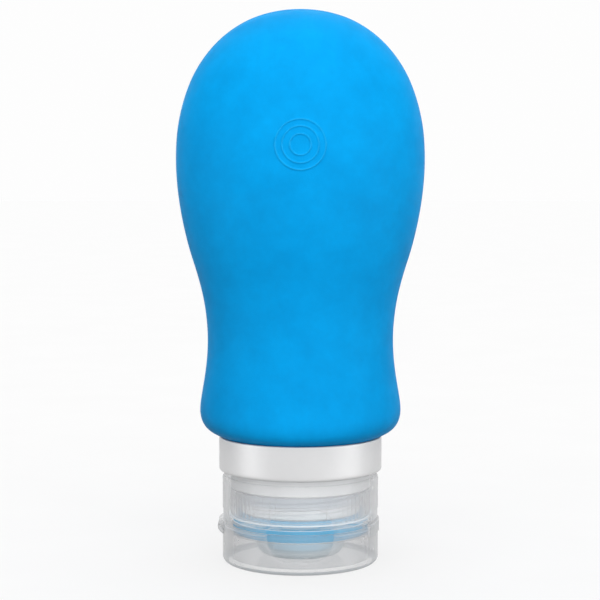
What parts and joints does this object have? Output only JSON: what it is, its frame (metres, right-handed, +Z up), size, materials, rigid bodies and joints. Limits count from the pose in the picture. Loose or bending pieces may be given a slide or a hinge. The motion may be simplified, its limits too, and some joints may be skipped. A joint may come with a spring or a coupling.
{
  "type": "travel squeeze bottle",
  "caption": "Squeezable silicone travel bottle standing upside down on a screw cap with a flip lid and slit valve; flattened bulb body with raised ring ornament.",
  "frame": {"origin": "centre of the outside face of the flip lid, on which the bottle stands", "axes": "+Z up from the lid to the crown of the body, +X to the lid's thumb tab, -X to its hinge, -Y the broad face with the raised rings"},
  "size_m": [0.0562, 0.044, 0.125],
  "materials": {
    "silicone_blue": "matte, slightly powdery",
    "silicone_seal": "matte",
    "plastic_pearl": "satin pearl",
    "plastic_natural": "satin",
    "plastic_frosted": "frosted translucent"
  },
  "bodies": {
    "bottle": {"squeeze_body": "silicone_blue", "neck_insert": "plastic_natural", "clamp_ring": "plastic_natural", "collar_shell": "plastic_pearl"},
    "gasket": {"cap_gasket": "silicone_seal"},
    "cap": {"cap_base": "plastic_frosted", "hinge_web": "plastic_frosted", "valve": "silicone_seal", "valve_retainer": "plastic_frosted"},
    "flip_lid": {"lid": "plastic_frosted"}
  },
  "joints": [
    {"name": "cap_travel", "type": "slide", "parent": "bottle", "child": "gasket", "axis": [0, 0, -1], "range_m": [0, 0.0045]},
    {"name": "cap_unscrew", "type": "hinge", "parent": "gasket", "child": "cap", "pos_m": [0, 0, 0.0107], "axis": [0, 0, -1], "range_deg": [0, 540]},
    {"name": "lid_flip", "type": "hinge", "parent": "cap", "child": "flip_lid", "pos_m": [-0.01877, 0, 0.0086], "axis": [0, 1, 0], "range_deg": [0, 175]}
  ],
  "couplings": [
    {"joint": "cap_travel", "follows": "cap_unscrew", "m_per_rad": 0.00047746}
  ]
}
